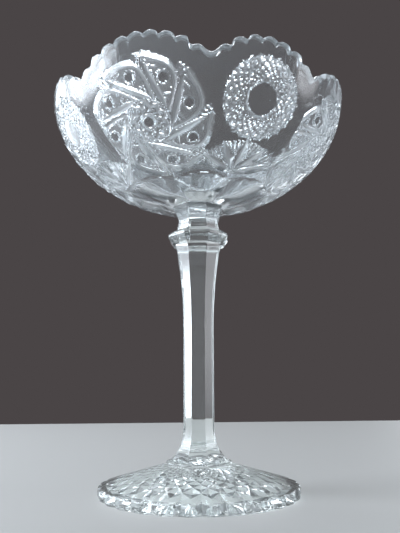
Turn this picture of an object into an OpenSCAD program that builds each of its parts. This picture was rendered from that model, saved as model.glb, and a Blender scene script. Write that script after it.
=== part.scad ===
// Pressed-glass compote: a lobed, toothed bowl on a tall octagonal stem and a scalloped foot.
// Z is up, the origin is at the middle of the ring that the foot stands on, and one of the
// bowl's valleys faces -Y.

/* [Overall] */
// Height from the table to the tip of the tallest teeth
total_h = 188; // [160:1:226]
// Width across the rim
bowl_d = 145; // [120:1:176]
// Width across the foot's scallops
foot_d = 91; // [74:1:112]

/* [Bowl] */
// Depth of the bowl's outside, from its seat to the tip of the tallest teeth
bowl_depth = 54; // [44:0.5:66]
// Thickness of the wall at the rim, over the pressed pattern
wall = 4.6; // [3.5:0.1:6]
// Thickness of the bowl's bottom over its seat
bowl_floor = 7; // [5:0.1:9]
// Repeats round the rim, each one wide and one narrow lobe
lobe_pairs = 4; // [3:1:5]
// Teeth on a wide lobe
wide_teeth = 9; // [7:1:11]
// Teeth on a narrow lobe
narrow_teeth = 7; // [5:1:9]
// Plain gap over a valley, in tooth pitches
valley_gap = 1.75; // [1.25:0.05:2.5]
// Rise of a wide lobe's arc over the line between its ends
wide_rise = 12.3; // [8:0.1:15]
// Rise of a narrow lobe's arc over the line between its ends
narrow_rise = 11.4; // [7:0.1:14]
// How much lower the narrow lobes' tips are than the wide ones'
narrow_drop = 1.2; // [0:0.1:3]
// Depth of the valleys below the tip of the tallest teeth
valley_depth = 10.9; // [9:0.1:16]
// Height of a tooth over the notches beside it
tooth_depth = 1.6; // [0.8:0.1:2.2]

/* [Wafer] */
// Height of the wafer between the knop and the bowl
wafer_h = 11.5; // [9:0.1:15]
// Width across the flats where the wafer meets the bowl
seat_w = 24.4; // [20:0.1:29]
// Width across the flats at the wafer's waist
waist_w = 18.6; // [15:0.1:19]
// Height of the stepped part under the waist
steps_h = 4.2; // [3:0.1:6]
// Steps between the knop and the waist
steps = 3; // [2:1:4]

/* [Knop] */
// Height of the knop
knop_h = 7.2; // [6:0.1:9]
// Width across the flats at the knop's widest
knop_w = 28.6; // [26:0.1:34]
// Width across the flats at the knop's lower edge
knop_foot_w = 24.6; // [22:0.1:26]
// Width across the flats at the knop's top
knop_top_w = 20.8; // [20:0.1:25]

/* [Stem] */
// Flat sides of the stem, knop and wafer
facets = 8; // [6:1:12]
// Turn of those flats against the bowl's valleys
facet_turn = -7.5; // [-22.5:0.5:22.5]
// Width across the flats at the stem's slimmest
stem_w = 14.1; // [12:0.1:17]
// Width across the flats at the top, under the knop
stem_top_w = 21.7; // [18:0.1:22]
// Width of the round base that stands on the foot
stem_base_d = 30.4; // [26:0.1:36]
// Height of the flare at the base
base_flare_h = 24; // [18:0.5:30]
// Height of the flare at the top
top_flare_h = 46; // [36:0.5:52]
// Thickness of the round base's edge
base_edge = 0.9; // [0.5:0.1:2]
// Margin of the round base outside the flats that rise from it
base_margin = 0.3; // [0.1:0.1:1]

/* [Foot] */
// Height of the foot's middle, where the stem stands
foot_h = 13.3; // [11:0.1:16]
// Height of the foot's scalloped edge
edge_h = 4.6; // [3.5:0.1:6]
// Scallops round the edge
scallops = 28; // [20:1:36]
// Turn of the notches between the scallops against the bowl's valleys
scallop_turn = -3.3; // [-9:0.1:9]
// Depth of the notches between the scallops
scallop_depth = 1.5; // [0.6:0.1:1.7]
// Rounding under the edge
edge_round = 0.8; // [0.3:0.1:1.2]
// Width of the flat ring that the foot stands on
rest_w = 3.2; // [2:0.1:5]
// Rise of the foot's underside from that ring to its middle
hollow_h = 4.2; // [2:0.1:5]

/* [Hidden] */
$fn = 96;

clear_glass = [0.86, 0.92, 0.93, 0.55];

// Places up the axis
knop_z = total_h - bowl_depth - wafer_h - knop_h;
wafer_z = total_h - bowl_depth - wafer_h;
bowl_z = total_h - bowl_depth;

// Foot
foot_r = foot_d / 2;
notch_r = foot_r - scallop_depth;
rest_out = notch_r - edge_round;
rest_in = rest_out - rest_w;
hollow_r = stem_base_d / 2;
half_scallop = foot_r * sin(180 / scallops);
scallop_r = (half_scallop ^ 2 + scallop_depth ^ 2) / (2 * scallop_depth);

// Bowl: both faces are half ellipses of revolution about the rim plane
bowl_r = bowl_d / 2;
seat_r = seat_w / 2;
outer_drop = bowl_depth / sqrt(1 - (seat_r / bowl_r) ^ 2);
inner_r = bowl_r - wall;
inner_drop = bowl_depth - bowl_floor;
curve_steps = 22;

// Rim: the pitch of the teeth shares one repeat between both lobes and two valleys
pitch = 360 / lobe_pairs / (wide_teeth + narrow_teeth - 2 + 2 * valley_gap);
wide_half = pitch * (wide_teeth - 1 + valley_gap) / 2;
narrow_half = pitch * (narrow_teeth - 1 + valley_gap) / 2;
valley_z = total_h - valley_depth;
tooth_chord = bowl_r * sin(pitch) / 2;
tooth_r = (tooth_chord ^ 2 + tooth_depth ^ 2) / (2 * tooth_depth);
cut_in = bowl_r / 3;
over = 2;

// Radius of the arc that rises by rise over a chord of half-width half
function arc_radius(half, rise) = (half ^ 2 + rise ^ 2) / (2 * rise);

// Drop of a lobe's arc at an angle from its middle
function arc_drop(angle, radius) = radius - sqrt(radius ^ 2 - (bowl_r * sin(angle)) ^ 2);

// A quarter ellipse in the r-z plane, from angle a0 to angle a1, about the middle of the rim plane
function ellipse_arc(rx, rz, a0, a1, n) = [
    for (i = [0:n]) let (a = a0 + (a1 - a0) * i / n) [rx * cos(a), total_h - rz * sin(a)]
];

// A flare: width w0 at height z0 eases into width w1 at height z1, flat at the w0 end
function flare(w0, z0, w1, z1, power, n) = [
    for (i = [1:n]) let (t = i / n) [w0 + (w1 - w0) * t ^ power, z0 + (z1 - z0) * t]
];

// A solid with flat sides from a profile of [width across the flats, height]
module flat_sided(profile) {
    to_corner = 0.5 / cos(180 / facets);
    outline = concat(
        [[0, profile[0][1]]],
        [for (p = profile) [p[0] * to_corner, p[1]]],
        [[0, profile[len(profile) - 1][1]]]
    );
    rotate([0, 0, facet_turn - 90 + 180 / facets])
        rotate_extrude($fn = facets) polygon(outline);
}

// The foot's scalloped outline
module scalloped_outline() {
    circle(r = notch_r);
    for (i = [0:scallops - 1])
        rotate([0, 0, scallop_turn - 90 + (i + 0.5) * 360 / scallops])
            translate([foot_r - scallop_r, 0]) circle(r = scallop_r);
}

module foot() {
    color(clear_glass) intersection() {
        rotate_extrude() polygon([
            [0, hollow_h], [hollow_r, hollow_h], [rest_in, 0], [rest_out, 0],
            [foot_r - edge_round, 0], [foot_r, edge_round], [foot_r + over, edge_round],
            [foot_r + over, edge_h], [foot_r - edge_round / 2, edge_h],
            [stem_base_d / 2, foot_h], [0, foot_h]
        ]);
        linear_extrude(height = foot_h) scalloped_outline();
    }
}

module stem() {
    base_w = (stem_base_d - 2 * base_margin) * cos(180 / facets);
    slim_from = foot_h + base_flare_h;
    slim_to = knop_z - top_flare_h;
    lower = flare(stem_w, slim_from, base_w, foot_h + base_edge, 4.2, 10);
    upper = flare(stem_w, slim_to, stem_top_w, knop_z, 2.3, 9);
    color(clear_glass) {
        translate([0, 0, foot_h]) cylinder(d = stem_base_d, h = base_edge);
        flat_sided(concat(
            [[base_w, foot_h]],
            [for (i = [len(lower) - 1:-1:0]) lower[i]],
            [[stem_w, slim_from], [stem_w, slim_to]],
            upper
        ));
    }
}

module knop() {
    color(clear_glass) flat_sided([
        [knop_foot_w, knop_z],
        [knop_w, knop_z + knop_h * 0.45],
        [knop_w, knop_z + knop_h * 0.62],
        [knop_top_w + 1.6, knop_z + knop_h * 0.94],
        [knop_top_w, knop_z + knop_h]
    ]);
}

module wafer() {
    step_h = steps_h / steps;
    step_w = (knop_top_w - 0.8 - waist_w) / steps;
    stepped = [
        for (i = [0:steps - 1], top = [0, 1])
            [knop_top_w - 0.8 - i * step_w, wafer_z + (i + top) * step_h]
    ];
    color(clear_glass) flat_sided(concat(
        stepped,
        [[waist_w, wafer_z + steps_h]],
        flare(waist_w, wafer_z + steps_h, seat_w, bowl_z, 1.25, 5)
    ));
}

// A round bar along a radius, from inside the wall to outside it
module radial_bar(angle, top, radius) {
    rotate([0, 0, angle - 90])
        translate([cut_in, 0, top - radius])
            rotate([0, 90, 0]) cylinder(r = radius, h = bowl_r - cut_in + over);
}

// One lobe of the rim with its teeth, its middle at an angle, its tallest tip at height top
module lobe(middle, half, teeth, rise, top) {
    radius = arc_radius(bowl_r * sin(half), rise);
    radial_bar(middle, top - tooth_depth, radius);
    for (i = [0:teeth - 1]) {
        from_middle = (i - (teeth - 1) / 2) * pitch;
        radial_bar(middle + from_middle, top - arc_drop(from_middle, radius), tooth_r);
    }
}

// Everything that the rim leaves standing
module rim_keep() {
    translate([0, 0, bowl_z]) cylinder(r = bowl_r + over, h = valley_z - bowl_z);
    for (i = [0:lobe_pairs - 1]) {
        start = i * 360 / lobe_pairs;
        lobe(start + narrow_half, narrow_half, narrow_teeth, narrow_rise, total_h - narrow_drop);
        lobe(start - wide_half, wide_half, wide_teeth, wide_rise, total_h);
    }
}

module bowl() {
    seat_angle = acos(seat_r / bowl_r);
    outer = ellipse_arc(bowl_r, outer_drop, 0, seat_angle, curve_steps);
    inner = ellipse_arc(inner_r, inner_drop, 90, 0, curve_steps);
    color(clear_glass) intersection() {
        rotate_extrude() polygon(concat(outer, [[0, bowl_z]], inner));
        rim_keep();
    }
}

foot();
stem();
knop();
wafer();
bowl();
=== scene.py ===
import math

import bpy
import numpy as np
from mathutils import Matrix, Vector


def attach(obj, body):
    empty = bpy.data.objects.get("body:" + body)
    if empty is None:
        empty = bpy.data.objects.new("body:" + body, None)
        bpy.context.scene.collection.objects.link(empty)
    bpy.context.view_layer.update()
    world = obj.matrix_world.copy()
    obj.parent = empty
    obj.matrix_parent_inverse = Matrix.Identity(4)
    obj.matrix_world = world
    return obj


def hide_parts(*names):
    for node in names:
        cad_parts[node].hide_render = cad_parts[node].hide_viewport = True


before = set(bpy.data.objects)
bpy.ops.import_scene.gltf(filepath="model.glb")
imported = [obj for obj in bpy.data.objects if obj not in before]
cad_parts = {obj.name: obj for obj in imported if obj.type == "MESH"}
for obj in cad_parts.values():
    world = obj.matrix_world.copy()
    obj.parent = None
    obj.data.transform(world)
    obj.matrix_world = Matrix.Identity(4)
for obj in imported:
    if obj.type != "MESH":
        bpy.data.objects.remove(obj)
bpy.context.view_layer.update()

# ---------------------------------------------------------------- camera
# A phone held low in front of the compote, a little below the middle of the stem, looking up at
# the bowl from the outside. It stands 268 mm from the axis and 50 mm over the table.
phone_distance = 0.26826
phone_height = 0.04993
phone_round = math.radians(-4.4924)
look_up = math.radians(11.603)
look_right = math.radians(0.159)
lean = math.radians(-0.239)

forward = Vector((
    math.sin(look_right) * math.cos(look_up),
    math.cos(look_right) * math.cos(look_up),
    math.sin(look_up),
))
level = Vector((math.cos(look_right), -math.sin(look_right), 0))
upward = level.cross(forward)
side = math.cos(lean) * level + math.sin(lean) * upward
over = -math.sin(lean) * level + math.cos(lean) * upward
stance = Matrix((side, over, -forward)).transposed().to_4x4()
stance.translation = Vector((0, -phone_distance, phone_height))

phone = bpy.data.cameras.new("phone")
phone.sensor_width = 36
phone.lens = 37.8
phone.clip_start = 0.01
phone.dof.use_dof = False
phone_object = bpy.data.objects.new("phone", phone)
bpy.context.scene.collection.objects.link(phone_object)
phone_object.matrix_world = Matrix.Rotation(phone_round, 4, "Z") @ stance
bpy.context.scene.camera = phone_object

# ---------------------------------------------------------------- foot
# The foot is a round disc of clear soda-lime glass, pressed in a mould: smooth on top, with a
# scalloped edge, and diamond points and a ring of rays pressed into its underside, which show
# through the top. It stands on a flat ring and is fused to the stem while hot.
MM = 0.001
foot_r = 45.5
foot_top_h = 13.3
foot_hollow_h = 4.2
foot_seat_r = 15.2
foot_rest_in = 40.0
scallops = 28
scallop_depth = 1.5
scallop_turn = math.radians(-3.3)
columns_per_scallop = 12
diamond_rows = 10
diamond_outer_r = 36.6
diamond_inner_r = 7.0
diamond_slope = 0.052  # depth of the grooves between the points, as a share of the radius
diamond_margin = 1.7
row_parts = 6
ray_inner_r = 2.5
ray_slope = 0.055
top_edge_in, top_edge_h = 1.1, 4.92
crease = math.radians(16)
tiny = 1e-6


def skin(name, points, fused=(), depth=None):
    """A closed skin from a grid of points: the rows run from a pole under the piece to a pole on top
    of it or inside it, the columns run round the axis, and the first and last rows shrink to single
    points. Each cell between neighbours is two triangles, split along the diagonal whose two ends
    are cut deeper, so that the bottom of a slanted groove stays a clean line. fused lists the rows
    whose faces toward the next row are joined to the neighbouring piece."""
    rows, columns = points.shape[:2]
    body = points[1:-1].reshape(-1, 3)
    poles = np.stack([points[0].mean(0), points[-1].mean(0)])
    verts = np.concatenate([body, poles]) * MM
    count = (rows - 2) * columns
    across = np.arange(columns)
    beside = (across + 1) % columns
    start = (np.arange(rows - 3) * columns)[:, None]
    corner = [start + across, start + beside, start + columns + beside, start + columns + across]
    deep = np.zeros(count) if depth is None else depth[1:-1].ravel()
    rising = (deep[corner[0]] + deep[corner[2]] >= deep[corner[1]] + deep[corner[3]])[..., None]
    first = np.where(rising, np.stack([corner[0], corner[1], corner[2]], -1),
                     np.stack([corner[0], corner[1], corner[3]], -1))
    second = np.where(rising, np.stack([corner[0], corner[2], corner[3]], -1),
                      np.stack([corner[1], corner[2], corner[3]], -1))
    under = np.stack([np.full(columns, count), beside, across], -1)
    above = np.stack([count - columns + across, count - columns + beside, np.full(columns, count + 1)], -1)
    corners = np.concatenate([under, np.stack([first, second], 2).reshape(-1, 3), above])
    row_of_face = np.concatenate([np.zeros(columns), np.repeat(np.arange(1, rows - 2), 2 * columns),
                                  np.full(columns, rows - 2)])
    mesh = bpy.data.meshes.new(name)
    mesh.vertices.add(len(verts))
    mesh.vertices.foreach_set("co", verts.astype(np.float32).ravel())
    mesh.loops.add(corners.size)
    mesh.loops.foreach_set("vertex_index", corners.astype(np.int32).ravel())
    mesh.polygons.add(len(corners))
    mesh.polygons.foreach_set("loop_start", (np.arange(len(corners)) * 3).astype(np.int32))
    mesh.polygons.foreach_set("loop_total", np.full(len(corners), 3, np.int32))
    mesh.polygons.foreach_set("material_index", np.isin(row_of_face, list(fused)).astype(np.int32))
    mesh.update(calc_edges=True)
    cut_depth = mesh.attributes.new("cut_depth", "FLOAT", "POINT")
    cut_depth.data.foreach_set("value", np.concatenate([deep, [0, 0]]).astype(np.float32))
    mesh.validate()
    mesh.shade_smooth()
    mesh.set_sharp_from_angle(angle=crease)
    piece = bpy.data.objects.new(name, mesh)
    bpy.context.scene.collection.objects.link(piece)
    return piece


def turned(angle, radius, height):
    """Points at an angle round the axis, from the front (-Y) toward the right (+X), at a distance
    from the axis and a height over the table, in millimetres."""
    radius, height, angle = np.broadcast_arrays(radius, height, angle)
    return np.stack([radius * np.sin(angle), -radius * np.cos(angle), height], -1)


def diamonds(across, along):
    """Height, from 0 in a groove to 1 on a tip, of diamond points whose tips lie where across and
    along are whole numbers with an even sum: one minus twice the larger distance from the nearest
    tip, measured along the two diagonals."""
    first = (across + along) / 2
    second = (across - along) / 2
    return 1 - 2 * np.maximum(abs(first - np.round(first)), abs(second - np.round(second)))


def ramp(value, start, end):
    """Rises smoothly from 0 at start to 1 at end, as 3t squared minus 2t cubed."""
    t = np.clip((value - start) / (end - start), 0, 1)
    return t * t * (3 - 2 * t)


foot_columns = scallops * columns_per_scallop
foot_angle = scallop_turn + np.arange(foot_columns) * 2 * math.pi / foot_columns
half_scallop = foot_r * math.sin(math.pi / scallops)
scallop_r = (half_scallop ** 2 + scallop_depth ** 2) / (2 * scallop_depth)
from_middle = np.arange(foot_columns) % columns_per_scallop - columns_per_scallop / 2
from_middle = from_middle * 2 * math.pi / foot_columns
scallop_middle = foot_r - scallop_r
# Outline: an arc of radius scallop_r over each scallop
off_middle = scallop_middle * np.sin(from_middle)
outline = scallop_middle * np.cos(from_middle) + np.sqrt(scallop_r ** 2 - off_middle ** 2)

# Underside: a low cone that rises from the rest ring to the middle, with the points and rays in it
half_pitch = math.pi / scallops
row_step = math.log(diamond_outer_r / diamond_inner_r) / diamond_rows
under_r = np.concatenate([
    [0, ray_inner_r * 0.5],
    np.linspace(ray_inner_r, diamond_inner_r, 8)[:-1],
    diamond_outer_r * np.exp(-row_step * np.arange(diamond_rows * row_parts, -1, -1) / row_parts),
    [diamond_outer_r + diamond_margin],
])[:, None]
cone = foot_hollow_h * (foot_rest_in - under_r) / (foot_rest_in - foot_seat_r)
cone = np.minimum(cone, foot_hollow_h)
steps_out = np.log(np.maximum(under_r, 1) / diamond_outer_r) / row_step
steps_round = (foot_angle - scallop_turn)[None, :] / half_pitch
points_up = np.where(
    (under_r >= diamond_inner_r - tiny) & (under_r <= diamond_outer_r + tiny),
    (1 - diamonds(steps_round, steps_out)) * diamond_slope * under_r,
    0,
)
ray_wave = abs((steps_round % 2) - 1)
ray_ramp = ramp(under_r, ray_inner_r, ray_inner_r + 2.5) * (under_r < diamond_inner_r - tiny)
points_up = points_up + ray_ramp * ray_slope * under_r * (1 - ray_wave)
underside = turned(foot_angle, under_r + 0 * foot_angle, cone + points_up)

# Rest ring, edge and top: offsets from the scalloped outline and heights
edge_profile = np.array([
    [-3.6, 0.0], [-2.0, 0.0], [-1.1, 0.03], [-0.6, 0.16], [-0.25, 0.42], [-0.05, 0.85], [0.0, 1.4],
    [0.0, 2.4], [0.0, 3.4], [-0.06, 3.95], [-0.25, 4.4], [-0.6, 4.72], [-top_edge_in, top_edge_h],
])
ring_r = np.array([foot_rest_in + 0.25])[:, None] + 0 * outline
edge_r = outline + edge_profile[:, :1]
edge_z = edge_profile[:, 1:] + 0 * outline
top_share = np.linspace(0, 1, 20)[1:, None]
top_r = (outline - top_edge_in) * (1 - top_share) + foot_seat_r * top_share
top_z = (top_edge_h + (foot_top_h - top_edge_h) * top_share) + 0 * outline
cap_r = np.array([0.5, 0.0])[:, None] * foot_seat_r + 0 * outline
foot_points = np.concatenate([
    underside,
    turned(foot_angle, ring_r, 0 * ring_r),
    turned(foot_angle, edge_r, edge_z),
    turned(foot_angle, top_r, top_z),
    turned(foot_angle, cap_r, foot_top_h + 0 * cap_r),
])
foot_rows = len(foot_points)
foot_depth = np.zeros(foot_points.shape[:2])
foot_depth[:len(points_up)] = points_up
foot = skin("foot_pressed", foot_points, fused=(foot_rows - 3, foot_rows - 2), depth=foot_depth)


def linear(hex_colour):
    """An sRGB hex colour as linear red, green, blue and an alpha of 1."""
    values = np.array([int(hex_colour[i:i + 2], 16) for i in (1, 3, 5)]) / 255
    return (*np.where(values > 0.04045, ((values + 0.055) / 1.055) ** 2.4, values / 12.92), 1.0)


def add(tree, kind, settings=(), links=()):
    """Adds a node of a kind to a tree, sets its properties or input values by name, and links other
    nodes' outputs to its inputs: each link is (input, node, output)."""
    node = tree.nodes.new(kind)
    for key, value in dict(settings).items():
        if key in node.inputs.keys():
            node.inputs[key].default_value = value
        else:
            setattr(node, key, value)
    for key, other, output in links:
        tree.links.new(other.outputs[output], node.inputs[key])
    return node


def pressed_glass(name, tint, wave_mm, wave_strength, roughness, clear=0.97, dulled=0.0):
    """Clear soda-lime glass pressed in an iron mould and fire-polished: index 1.52, no colour but a
    breath of grey-green, a surface that ripples slightly where it chilled against the mould, and
    fine handling wear that dulls it in patches. The fire polish reaches less the deeper the mould
    cut, so that deep cuts are milkier: clear falls evenly, by dulled over a depth of 1 mm."""
    material = bpy.data.materials.new(name)
    material.use_nodes = True
    tree = material.node_tree
    tree.nodes.clear()
    place = add(tree, "ShaderNodeTexCoord")
    # Ripples from the mould, one every wave_mm millimetres
    ripple = add(tree, "ShaderNodeTexNoise", {"Scale": 1000 / wave_mm, "Detail": 2.0, "Roughness": 0.45},
                 [("Vector", place, "Object")])
    # Fine wear and dust in patches about 3 mm across
    wear = add(tree, "ShaderNodeTexNoise", {"Scale": 330.0, "Detail": 5.0, "Roughness": 0.65},
               [("Vector", place, "Object")])
    dull = add(tree, "ShaderNodeMapRange",
               {"From Min": 0.45, "From Max": 0.75, "To Min": roughness, "To Max": roughness + 0.07},
               [("Value", wear, "Fac")])
    bump = add(tree, "ShaderNodeBump", {"Strength": wave_strength, "Distance": 0.0006},
               [("Height", ripple, "Fac")])
    shader = add(tree, "ShaderNodeBsdfPrincipled",
                 {"Base Color": linear(tint), "IOR": 1.52, "Transmission Weight": clear, "Metallic": 0.0},
                 [("Roughness", dull, "Result"), ("Normal", bump, "Normal")])
    if dulled:
        cut_in = add(tree, "ShaderNodeAttribute", {"attribute_name": "cut_depth"})
        milky = add(tree, "ShaderNodeMapRange",
                    {"From Min": 0.0, "From Max": 1.0, "To Min": clear, "To Max": clear - dulled},
                    [("Value", cut_in, "Fac")])
        tree.links.new(milky.outputs["Result"], shader.inputs["Transmission Weight"])
    add(tree, "ShaderNodeOutputMaterial", {}, [("Surface", shader, "BSDF")])
    return material


def fused_joint(name):
    """The face where two pieces were pressed together while soft: the glass runs on through it, so
    no surface is left there and light passes straight on."""
    material = bpy.data.materials.new(name)
    material.use_nodes = True
    tree = material.node_tree
    tree.nodes.clear()
    through = add(tree, "ShaderNodeBsdfTransparent", {"Color": (1, 1, 1, 1)})
    add(tree, "ShaderNodeOutputMaterial", {}, [("Surface", through, "BSDF")])
    return material


fused = fused_joint("hot_fused_joint")
foot.data.materials.append(
    pressed_glass("pressed_soda_lime_glass_foot", "#f5faf9", 9.0, 0.02, 0.01, 0.97, 0.04))
foot.data.materials.append(fused)
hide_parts("foot")
# Lamps reach the table under the clear foot, as light does through real glass
foot.visible_shadow = False
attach(foot, "root")

# ---------------------------------------------------------------- stem
# The stem is an eight-sided shaft of the same glass, drawn slim in the middle. It swells to a
# round base that was pressed down on the foot, and widens in long hollow flares under the knop.
flats = 8
flat_turn = math.radians(-7.5)
stem_slim_w = 14.1
stem_top_w = 21.7
stem_base_w = 27.5
stem_z0 = 13.3
stem_z1 = 115.3
base_flare = 24.0
top_flare = 46.0
base_bend, top_bend = 4.2, 2.3  # powers of the two flares: a higher one swells later and faster
lip_inset = 0.35
crisp = 90.0  # power that keeps the edges between the flats sharp


def flat_angles(columns_per_flat):
    """Angles round the axis, bunched toward the edges between the flats: an even share of each flat
    eased by a sine so that the steps shrink at both of its ends."""
    share = (np.arange(columns_per_flat) + 0.5) / columns_per_flat * 2 - 1
    eased = 0.30 * share + 0.70 * np.sin(share * math.pi / 2)
    centres = flat_turn + np.arange(flats) * 2 * math.pi / flats
    return (centres[:, None] + eased[None, :] * math.pi / flats).ravel()


def flat_sided(angle, width, sharpness):
    """Distance from the axis of an eight-sided outline: half the width across the flats, divided by
    the power mean of the cosines of the angles to the eight flats. A high power keeps the edges
    crisp with a small rounding, and a low one wears them away."""
    centres = flat_turn + np.arange(flats) * 2 * math.pi / flats
    toward = np.maximum(np.cos(angle[..., None] - centres), 1e-3)
    power = np.asarray(sharpness)
    total = np.sum(toward ** power[..., None], -1)
    return width / 2 / total ** (1 / power)


stem_angle = flat_angles(20)[None, :]
rise = np.concatenate([
    [0.0, 0.0, 0.25, 0.55, 0.8, 0.95, 1.1, 1.3, 1.6],
    np.linspace(2.0, base_flare, 34),
    np.linspace(base_flare, stem_z1 - stem_z0, 60)[1:],
    [stem_z1 - stem_z0],
])[:, None]
down = np.clip((base_flare - rise) / (base_flare - 0.9), 0, 1)
up = np.clip((rise - (stem_z1 - stem_z0 - top_flare)) / top_flare, 0, 1)
stem_w = (stem_slim_w + (stem_base_w - stem_slim_w) * down ** base_bend
          + (stem_top_w - stem_slim_w) * up ** top_bend)
stem_flat_r = flat_sided(stem_angle + 0 * rise, stem_w, np.full((len(rise), 1), crisp))
# The lip of the round base is a disc; over it the flats rise out of the round
lip_r = foot_seat_r - lip_inset * ramp(rise, 0.5, 1.1)
round_share = 1 - ramp(rise, 0.8, 5.5)
stem_round_r = np.where(rise < 1.2, lip_r, stem_w / 2 * 1.035)
stem_r = stem_flat_r * (1 - round_share) + np.minimum(stem_round_r, lip_r) * round_share
shrink = np.ones_like(rise)
shrink[0], shrink[-1] = 0, 0
stem_points = turned(stem_angle, stem_r * shrink, stem_z0 + rise)
stem_rows = len(stem_points)
stem = skin("stem_drawn", stem_points, fused=(0, stem_rows - 2))
stem.data.materials.append(pressed_glass("pressed_soda_lime_glass_stem", "#f3f8f6", 16.0, 0.25, 0.01))
stem.data.materials.append(fused)
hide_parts("stem")
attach(stem, "root")

# ---------------------------------------------------------------- knop
# The knop is an eight-sided bead of the same glass, pressed with a bevel above and below its
# widest band. Its ledge overhangs the top of the stem, which it is fused to.
knop_z0 = 115.3
knop_h = 7.2
wafer_foot_w = 20.0
knop_profile = np.array([
    [24.6, 0.0], [28.6, 0.45], [28.6, 0.62], [22.4, 0.94], [20.8, 1.0],
]) * [1, knop_h] + [0, knop_z0]


def eased_profile(profile, rounding, steps):
    """A profile of (width, height) corners with each inner corner swapped for a short curve: from a
    point one rounding before the corner to one rounding after it, bent toward the corner."""
    before, corner, after = profile[:-2], profile[1:-1], profile[2:]
    back = before - corner
    ahead = after - corner
    size_back = np.linalg.norm(back * [0.5, 1], axis=1)[:, None]
    size_ahead = np.linalg.norm(ahead * [0.5, 1], axis=1)[:, None]
    start = corner + back / size_back * np.minimum(rounding, size_back * 0.45)
    end = corner + ahead / size_ahead * np.minimum(rounding, size_ahead * 0.45)
    t = np.linspace(0, 1, steps)[None, :, None]
    curve = start[:, None] * (1 - t) ** 2 + 2 * corner[:, None] * t * (1 - t) + end[:, None] * t ** 2
    return np.concatenate([profile[:1], curve.reshape(-1, 2), profile[-1:]])


knop_angle = flat_angles(16)[None, :]
knop_curve = eased_profile(knop_profile, 0.45, 5)
knop_w, knop_z = knop_curve[:, :1], knop_curve[:, 1:]
knop_w = np.concatenate([[[stem_top_w]], knop_w, [[wafer_foot_w]]])
knop_z = np.concatenate([[[knop_z0]], knop_z, [[knop_z0 + knop_h]]])
knop_r = flat_sided(knop_angle + 0 * knop_w, knop_w, np.full(knop_w.shape, crisp))
knop_points = np.concatenate([
    turned(knop_angle, 0 * knop_angle, knop_z0),
    turned(knop_angle, knop_r, knop_z),
    turned(knop_angle, 0 * knop_angle, knop_z0 + knop_h),
])
knop = skin("knop_pressed", knop_points, fused=(0, len(knop_points) - 2))
knop.data.materials.append(pressed_glass("pressed_soda_lime_glass_knop", "#f3f8f6", 9.0, 0.25, 0.01))
knop.data.materials.append(fused)
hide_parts("knop")
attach(knop, "root")

# ---------------------------------------------------------------- wafer
# The wafer is the gather of hot glass that joins the knop and the bowl. It was squeezed in the
# mould into three low steps, a waist and a flared cup that grips the bowl's bottom.
wafer_z0 = 122.5
wafer_z1 = 134.0
waist_w = 18.6
seat_w = 24.4
wafer_steps = np.array([
    [wafer_foot_w, 0.0], [wafer_foot_w, 1.4], [19.53, 1.4], [19.53, 2.8], [19.07, 2.8], [19.07, 4.2],
    [waist_w, 4.2],
])
wafer_share = np.linspace(0, 1, 12)[1:]
wafer_flare = np.stack([
    waist_w + (seat_w - waist_w) * wafer_share ** 1.25,
    4.2 + (11.5 - 4.2) * wafer_share,
], -1)
wafer_curve = eased_profile(np.concatenate([wafer_steps, wafer_flare]), 0.22, 3) + [0, wafer_z0]
wafer_angle = flat_angles(16)[None, :]
wafer_w, wafer_z = wafer_curve[:, :1], wafer_curve[:, 1:]
wafer_r = flat_sided(wafer_angle + 0 * wafer_w, wafer_w, np.full(wafer_w.shape, crisp))
wafer_points = np.concatenate([
    turned(wafer_angle, 0 * wafer_angle, wafer_z0),
    turned(wafer_angle, wafer_r, wafer_z),
    turned(wafer_angle, 0 * wafer_angle, wafer_z1),
])
wafer = skin("wafer_gathered", wafer_points, fused=(0, len(wafer_points) - 2))
wafer.data.materials.append(pressed_glass("pressed_soda_lime_glass_wafer", "#f3f8f6", 9.0, 0.3, 0.01))
wafer.data.materials.append(fused)
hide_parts("wafer")
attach(wafer, "root")

# ---------------------------------------------------------------- bowl
# The bowl is one thick pressing of the same glass, plain inside. Outside, the mould gave it cut
# patterns: a pinwheel of eight blades on each wide lobe, a hobstar over a fan of leaves on each
# narrow lobe, plain flutes at the bottom, and a rim of 64 fire-polished teeth.
bowl_z0 = 134.0
bowl_z1 = 188.0
bowl_r = 72.5
bowl_drop = (bowl_z1 - bowl_z0) / math.sqrt(1 - (seat_w / 2 / bowl_r) ** 2)
inner_r = 67.9
inner_drop = 47.0
pitch = math.radians(90 / 17.5)
wide_teeth, narrow_teeth = 9, 7
wide_half = pitch * (wide_teeth + 0.75) / 2
narrow_half = pitch * (narrow_teeth + 0.75) / 2
wide_rise, narrow_rise = 12.3, 11.4
narrow_drop = 1.2
valley_z = 176.3
tooth_depth = 1.6
tooth_steps = 10
valley_steps = 8
rim_round = 1.4
rim_milk = 0.9

# Columns: ten to a tooth and eight to a valley, so that every notch falls on a column
wide_share = np.linspace(-wide_teeth / 2, wide_teeth / 2, wide_teeth * tooth_steps + 1)[:-1]
narrow_share = np.linspace(-narrow_teeth / 2, narrow_teeth / 2, narrow_teeth * tooth_steps + 1)[:-1]
valley_columns = np.linspace(-0.375, 0.375, valley_steps + 1)[:-1]
quarter = np.concatenate([
    wide_share * pitch - wide_half,
    valley_columns * pitch,
    narrow_share * pitch + narrow_half,
    valley_columns * pitch + 2 * narrow_half,
])


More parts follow.
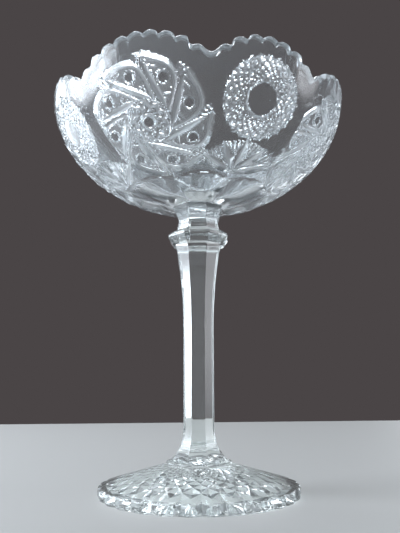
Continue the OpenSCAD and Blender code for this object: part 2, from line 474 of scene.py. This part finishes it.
def tooth_line(angle, middle, half, teeth, rise_mm, top):
    """Height of a lobe's rim: an arc that rises over the lobe, with a row of small round-topped
    teeth on it. The arc and each tooth are circles seen from outside, and the higher one shows."""
    away = angle - middle
    chord = bowl_r * math.sin(half)
    arc = (chord ** 2 + rise_mm ** 2) / (2 * rise_mm)
    sunk = arc - np.sqrt(np.maximum(arc ** 2 - (bowl_r * np.sin(away)) ** 2, 0))
    tooth_chord = bowl_r * math.sin(pitch) / 2
    tooth_r = (tooth_chord ** 2 + tooth_depth ** 2) / (2 * tooth_depth)
    index = np.clip(np.round(away / pitch), -(teeth - 1) / 2, (teeth - 1) / 2)
    index_sunk = arc - np.sqrt(arc ** 2 - (bowl_r * np.sin(index * pitch)) ** 2)
    reach = np.minimum((bowl_r * np.sin(away - index * pitch)) ** 2, tooth_r ** 2)
    tooth = top - index_sunk - tooth_r + np.sqrt(tooth_r ** 2 - reach)
    inside = abs(away) < half * 1.02
    return np.where(inside, np.maximum(top - tooth_depth - sunk, tooth), -1.0)


rim_z = np.maximum.reduce([
    np.full_like(quarter, valley_z),
    tooth_line(quarter, -wide_half, wide_half, wide_teeth, wide_rise, bowl_z1),
    tooth_line(quarter, narrow_half, narrow_half, narrow_teeth, narrow_rise, bowl_z1 - narrow_drop),
])

# The bottoms of the valleys are swept smooth: there the rim is averaged over half a tooth
bell = np.exp(-0.5 * (np.arange(-8, 9) / 3.0) ** 2)
swept = np.convolve(np.tile(rim_z, 3), bell / bell.sum(), "same")[len(rim_z):2 * len(rim_z)]
into_quarter = (quarter / (math.pi / 2)) % 1 * 90
to_valley = np.minimum.reduce([
    abs(into_quarter), abs(into_quarter - 90), abs(into_quarter - math.degrees(2 * narrow_half)),
])
valley_share = 1 - ramp(to_valley, 1.6, 4.2)
rim_z = rim_z * (1 - valley_share) + swept * valley_share

# The outside is half an ellipse turned about the axis; up_wall is the distance along it from the
# seat. Its rows are level up to steady, and over that they bend more and more with the rim.
fine = np.linspace(math.acos(seat_w / 2 / bowl_r), 0, 4001)
fine_r, fine_z = bowl_r * np.cos(fine), bowl_z1 - bowl_drop * np.sin(fine)
fine_s = np.concatenate([[0], np.cumsum(np.hypot(np.diff(fine_r), np.diff(fine_z)))])
rim_s = np.interp(rim_z, fine_z, fine_s)
steady = 68.0
low_rows = np.concatenate([
    np.linspace(0, 16, 8)[:-1], np.linspace(16, 24, 9)[:-1], np.linspace(24, steady, 72),
])
climb = np.linspace(0, 1, 31)[1:, None]
up_wall = np.concatenate([
    low_rows[:, None] + 0 * rim_s,
    steady * (1 - climb) + (rim_s - rim_round) * climb,
])
wall_r = np.interp(up_wall, fine_s, fine_r)
wall_z = np.interp(up_wall, fine_s, fine_z)
wall_place = turned(quarter, wall_r, wall_z)
wall_angle = np.arctan2(wall_z - bowl_z1, wall_r * (bowl_drop / bowl_r))
out_r = np.cos(wall_angle) / bowl_r
out_z = np.sin(wall_angle) / bowl_drop
out_size = np.hypot(out_r, out_z)
out_r, out_z = out_r / out_size, out_z / out_size


def medallion(middle, height_up):
    """Flat coordinates about a point on the wall: right and up, in millimetres, from the direction
    in the plane that touches the wall there and the straight distance to the point."""
    r0, z0 = np.interp(height_up, fine_s, fine_r), np.interp(height_up, fine_s, fine_z)
    r1, z1 = np.interp(height_up + 0.1, fine_s, fine_r), np.interp(height_up + 0.1, fine_s, fine_z)
    centre = turned(middle, r0, z0)
    right = turned(middle + math.pi / 2, 1.0, 0.0)
    upward = turned(middle, r1, z1) - centre
    upward = upward / np.linalg.norm(upward)
    apart = wall_place - centre
    distance = np.linalg.norm(apart, axis=-1)
    heading = np.arctan2(apart @ upward, apart @ right)
    return distance, heading


def groove(off, half_width, depth):
    """Depth of a V-shaped cut: full on its line, and nothing a half-width away."""
    return depth * np.clip(1 - abs(off) / np.maximum(half_width, 1e-6), 0, 1)


def comb(along, step, depth):
    """Depth of a comb of V-shaped cuts side by side, one every step."""
    return depth * (1 - abs(((along / step) % 1) * 2 - 1))


cut = np.zeros_like(wall_r)

# Flutes: eight shallow hollows, each under an arch, with ridges between them that run to the seat
arch_h, arch_fall, flute_deep = 24.2, 14.0, 1.15
eighth = (quarter / (math.pi / 4) + 0.5) % 1 - 0.5
arch_top = arch_h - arch_fall * eighth ** 2
hollow = flute_deep * (1 - (2 * eighth) ** 2) * ramp(up_wall, 1.0, 8.0)
below_arch = ramp(arch_top - up_wall, 0.0, 1.6)
cut = np.maximum(cut, hollow * below_arch + groove(up_wall - arch_top, 0.9, 0.35))
flute_cut = cut

# Pinwheel: eight blades turned by 45 degrees each. A blade has a straight spine from near the hub
# to its tip, an arc that bulges from it, and a round button, a crescent and a row of bars inside.
blades = 8
blade_from, blade_to = 10, 27
from_turn, to_turn = math.radians(15), math.radians(86.5)
blade_length = 25.6
blade_width = 10
button_off = 4.7
hub_r, hub_turn = 8.3, math.pi / 10
distance, heading = medallion(-wide_half, 50.8)
flat_x, flat_y = distance * np.cos(heading), distance * np.sin(heading)
wheel = np.zeros_like(cut)
covered = np.zeros_like(cut)
for k in range(blades):
    turn_by = math.radians(45 * k)
    start = blade_from * np.array([math.cos(turn_by + from_turn), math.sin(turn_by + from_turn)])
    tip = blade_to * np.array([math.cos(turn_by + to_turn), math.sin(turn_by + to_turn)])
    along_axis = (tip - start) / np.linalg.norm(tip - start)
    share = ((flat_x - start[0]) * along_axis[0] + (flat_y - start[1]) * along_axis[1]) / blade_length
    off = (flat_x - start[0]) * along_axis[1] - (flat_y - start[1]) * along_axis[0]
    width = blade_width * np.sin(math.pi * np.clip(share, 0, 1))
    lean_out = np.sqrt(1 + (blade_width * math.pi / blade_length * np.cos(math.pi * share)) ** 2)
    on = ((share > 0) & (share < 1)).astype(float)
    inside = on * ramp(off, -0.2, 0.4) * ramp((width - off) / lean_out, -0.2, 0.5)
    spine_half = 2.2 * np.sin(math.pi * np.clip(share, 0, 1) ** 0.8) ** 0.7 + 0.05
    spine = on * groove(off, spine_half, spine_half * 0.8)
    arc_cut = on * groove((width - off) / lean_out - 0.6, 1.9, 1.15) * (off > 0)
    from_button = np.hypot((share - 0.5) * blade_length, off - button_off)
    button = groove(from_button - 2.7, 0.75, 0.8)
    crescent = groove(from_button - 4.4, 0.6, 0.5) * inside
    bars = comb(share * blade_length + off * 0.6, 2.4, 0.95) * inside * (1 - ramp(from_button, 5.6, 5.0))
    field = inside * 0.45 * (1 - ramp(from_button, 3.2, 2.6))
    wheel = np.maximum.reduce([wheel, spine, arc_cut, button * inside, crescent, np.maximum(bars, field)])
    covered = np.maximum(covered, inside)
# Small combs at the blades' tips
gap = (1 - covered) * ramp(distance, 12.0, 14.0) * (1 - ramp(distance, 26.8, 27.5))
tip_turn = (np.degrees(heading) - 86.5 + 11) / 45 % 1 * 45 - 11
fan_on = ramp(distance, 20.0, 21.5) * (1 - ramp(abs(tip_turn + 1), 8.5, 10.0))
wheel = np.maximum(wheel, gap * comb(heading, math.radians(3.75), 0.6) * fan_on)
# Hub: fine points round a button, inside an octagon
side_turn = (heading / (math.pi / 4)) % 1 - 0.5
octagon = distance * np.cos(side_turn * math.pi / 4)
hub = ramp(octagon, 8.6, 8.0)
hub_points = diamonds(heading / hub_turn, np.log(np.maximum(distance, 1) / hub_r) / hub_turn)
hub_field = (1 - hub_points) * 0.17 * distance * ramp(distance, 3.2, 3.6)
hub_button = groove(distance - 3.1, 0.9, 1.1)
wheel = wheel * (1 - hub) + hub * np.maximum(hub_field, hub_button)
wheel = np.maximum(wheel, groove(octagon - 8.7, 0.9, 1.0))
cut = np.maximum(cut, wheel)

# Hobstar: a ring of points between a plain middle and a scalloped edge. They grow outward with
# the radius, because their rows are even steps of its logarithm.
star_r, star_inner_r = 16.9, 7.3
star_slope = 0.078
star_milk = 0.4
distance, heading = medallion(narrow_half, 60.9)
star_half = math.pi / 24
star_steps = np.log(np.maximum(distance, 1) / star_r) / star_half
star_points = diamonds(heading / star_half, star_steps)
scalloped = 17.5 - 1.1 * abs(np.sin(heading * 12))
star_on = ramp(distance, 7.4, 7.8) * ramp(scalloped - distance, -0.3, 0.3)
star = star_on * (1 - star_points) * star_slope * distance
star = np.maximum(star, groove(distance - star_inner_r, 0.8, 0.9))
cut = np.maximum(cut, star)
star_field = star_milk * star_on

# Fan of leaves under the hobstar, over a comb of fine rays
leaf_length, leaf_half, leaf_deep = 18.0, 2.5, 1.3
ray_turn = math.radians(7)
distance, heading = medallion(narrow_half, 25.5)
fan = np.zeros_like(cut)
lean_from = abs(math.pi / 2 - heading)
reach = ramp(distance, 2.0, 5.0) * (1 - ramp(distance, 16.5, 17.5)) * (lean_from < math.radians(78))
fan = np.maximum(fan, reach * comb(math.pi / 2 - heading + 0.5 * ray_turn, ray_turn, 0.7))
for lean_by in (-70, -35, 0, 35, 70):
    away = heading - math.pi / 2 + math.radians(lean_by)
    along = distance * np.cos(away)
    off = distance * np.sin(away)
    leaf = leaf_half * np.sin(math.pi * np.clip(along / leaf_length, 0, 1)) ** 0.8
    on = (along > 0) & (along < leaf_length)
    keep = on * ramp(leaf + 0.3 - abs(off), -0.1, 0.3)
    fan = fan * (1 - keep) + keep * groove(off, leaf + 0.3, leaf_deep)
cut = np.maximum(cut, fan)

# How milky each place is. The wide flutes stay clearer than their depth would make them, and the
# hobstar is milky all over, because the polish never reached between its points.
unpolished = np.tile(np.maximum(np.where(cut > flute_cut, cut, 0.2 * cut), star_field), (1, 4))
cut = np.tile(cut, (1, 4))
all_angle = np.concatenate([quarter + k * math.pi / 2 for k in range(4)])
all_rim = np.tile(rim_z, 4)
wall_r, wall_z = np.tile(wall_r, (1, 4)), np.tile(wall_z, (1, 4))
out_r, out_z = np.tile(out_r, (1, 4)), np.tile(out_z, (1, 4))
skin_r = wall_r - cut * out_r
skin_z = wall_z - cut * out_z
# The seat takes the wafer's eight-sided outline and eases into the round wall
seat_share = 1 - ramp(np.tile(up_wall, (1, 4)), 0.0, 3.0)
seat_outline = flat_sided(all_angle[None, :], seat_w, np.full((1, 1), crisp))
skin_r = skin_r + seat_share * (seat_outline - seat_w / 2)
skin_z = np.maximum(skin_z, bowl_z0)

# Rim: a rounded ribbon over the wall, half an ellipse across, then the plain inside to its middle
wall_at_rim = bowl_r * np.sqrt(1 - ((bowl_z1 - all_rim) / bowl_drop) ** 2)
inner_at_rim = inner_r * np.sqrt(1 - ((bowl_z1 - all_rim) / inner_drop) ** 2)
across = np.array([0.03, 0.12, 0.28, 0.5, 0.72, 0.88, 0.97])[:, None]
rim_r = wall_at_rim * (1 - across) + inner_at_rim * across
rim_height = all_rim - rim_round * (1 - np.sqrt(1 - (2 * across - 1) ** 2))
inner_start = np.arcsin(np.clip((bowl_z1 - all_rim + rim_round) / inner_drop, 0, 1))
inner_share = np.linspace(0, 1, 15)[:, None]
inner_angle = inner_start * (1 - inner_share) + math.pi / 2 * inner_share
bowl_points = np.concatenate([
    turned(all_angle[None, :], 0 * all_angle[None, :], bowl_z0),
    turned(all_angle, skin_r, skin_z),
    turned(all_angle, rim_r, rim_height),
    turned(all_angle, inner_r * np.cos(inner_angle), bowl_z1 - inner_drop * np.sin(inner_angle)),
])
bowl_depth = np.zeros(bowl_points.shape[:2])
rim_start = len(cut) + 1
bowl_depth[1:rim_start] = unpolished
bowl_depth[rim_start:rim_start + len(across)] = rim_milk
bowl = skin("bowl_pressed", bowl_points, fused=(0,), depth=bowl_depth)
bowl.data.materials.append(
    pressed_glass("pressed_soda_lime_glass_bowl", "#f3f8fa", 8.0, 0.25, 0.03, 0.965, 0.30))
bowl.data.materials.append(fused)
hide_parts("bowl")
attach(bowl, "root")

# ---------------------------------------------------------------- floor and light
# A plain pale table top under the compote, a room with a dark wall behind it, and five soft boxes:
# the main one on the left, a weak one on the right, and three behind.
floor_mesh = bpy.data.meshes.new("floor")
reach_m = 0.45
floor_mesh.from_pydata(
    [(-reach_m, -reach_m, 0), (reach_m, -reach_m, 0), (reach_m, reach_m, 0), (-reach_m, reach_m, 0)],
    [], [(0, 1, 2, 3)])
floor = bpy.data.objects.new("floor", floor_mesh)
bpy.context.scene.collection.objects.link(floor)
laminate = bpy.data.materials.new("matt_laminate_pale")
laminate.use_nodes = True
laminate.node_tree.nodes["Principled BSDF"].inputs["Base Color"].default_value = linear("#b4b3b0")
laminate.node_tree.nodes["Principled BSDF"].inputs["Roughness"].default_value = 0.6
floor_mesh.materials.append(laminate)

# The room's walls: a dark one behind the compote, and soft grey ones to its sides, in front and
# overhead, a little brighter on the left
room = bpy.data.worlds.new("room")
room.use_nodes = True
walls = room.node_tree
walls.nodes.clear()
toward = add(walls, "ShaderNodeTexCoord")
parts = add(walls, "ShaderNodeSeparateXYZ", {}, [("Vector", toward, "Generated")])
sideways = add(walls, "ShaderNodeMath", {"operation": "ABSOLUTE"}, [(0, parts, "X")])
eased = {"interpolation_type": "SMOOTHSTEP", "To Min": 0.0}
beside_it = add(walls, "ShaderNodeMapRange", {**eased, "From Min": 0.42, "From Max": 0.62, "To Max": 1.0},
                [("Value", sideways, "Value")])
overhead = add(walls, "ShaderNodeMapRange", {**eased, "From Min": 0.62, "From Max": 0.76, "To Max": 0.75},
               [("Value", parts, "Z")])
in_front = add(walls, "ShaderNodeMapRange", {**eased, "From Min": 0.66, "From Max": 0.3, "To Max": 1.0},
               [("Value", parts, "Y")])
either = add(walls, "ShaderNodeMath", {"operation": "MAXIMUM"},
             [(0, beside_it, "Result"), (1, overhead, "Result")])
all_round = add(walls, "ShaderNodeMath", {"operation": "MAXIMUM"},
                [(0, either, "Value"), (1, in_front, "Result")])
leftward = add(walls, "ShaderNodeMapRange",
               {"From Min": 0.8, "From Max": -0.8, "To Min": 0.6, "To Max": 1.45}, [("Value", parts, "X")])
lighter = add(walls, "ShaderNodeMath", {"operation": "MULTIPLY"},
              [(0, all_round, "Value"), (1, leftward, "Result")])
paint = add(walls, "ShaderNodeMix", {"data_type": "RGBA", "clamp_factor": False},
            [("Factor", lighter, "Value")])
# In a colour mix, inputs 6 and 7 are the two colours
paint.inputs[6].default_value = linear("#4a4546")
paint.inputs[7].default_value = linear("#bfc6ce")
wash = add(walls, "ShaderNodeBackground", {}, [])
walls.links.new(next(o for o in paint.outputs if o.type == "RGBA"), wash.inputs["Color"])
add(walls, "ShaderNodeOutputWorld", {}, [("Surface", wash, "Background")])
bpy.context.scene.world = room


def soft_box(name, place, toward, width, height, watts, colour):
    """A soft box: an area light at a place, turned to face a point, whose cloth glows most in the
    middle and fades to its edges, so that its reflections have no hard outline. Cameras don't see it."""
    light = bpy.data.lights.new(name, "AREA")
    light.shape = "RECTANGLE"
    light.size, light.size_y, light.energy = width, height, watts
    light.color = linear(colour)[:3]
    light.use_nodes = True
    tree = light.node_tree
    tree.nodes.clear()
    spot = add(tree, "ShaderNodeNewGeometry")
    centred = add(tree, "ShaderNodeVectorMath", {"operation": "DISTANCE"}, [(0, spot, "Parametric")])
    centred.inputs[1].default_value = (0.5, 0.5, 0.0)
    fade = add(tree, "ShaderNodeMapRange",
               {"interpolation_type": "SMOOTHSTEP", "From Min": 0.18, "From Max": 0.52,
                "To Min": 1.8, "To Max": 0.0},
               [("Value", centred, "Value")])
    glow = add(tree, "ShaderNodeEmission", {}, [("Strength", fade, "Result")])
    add(tree, "ShaderNodeOutputLight", {}, [("Surface", glow, "Emission")])
    holder = bpy.data.objects.new(name, light)
    bpy.context.scene.collection.objects.link(holder)
    holder.location = place
    holder.rotation_euler = (Vector(toward) - Vector(place)).to_track_quat("-Z", "Y").to_euler()
    holder.visible_camera = False


soft_box("box_left", (-0.85, -0.05, 0.35), (0, 0, 0.12), 0.9, 0.9, 19, "#eaf2fc")
soft_box("box_back_left", (-0.95, 0.75, 0.40), (0, 0, 0.12), 0.9, 1.2, 6, "#eaf2fc")
soft_box("box_back_right", (0.64, 0.95, 0.12), (0, 0, 0.10), 0.36, 1.0, 1.8, "#f4f8fd")
soft_box("box_right", (0.95, -0.20, 0.3), (0, 0, 0.12), 0.5, 0.9, 3, "#f6f9ff")
soft_box("box_back_top", (0.0, 0.80, 1.25), (0, 0, 0.15), 0.9, 0.35, 2.6, "#f4f8fd")
bpy.context.scene.view_settings.view_transform = "Standard"
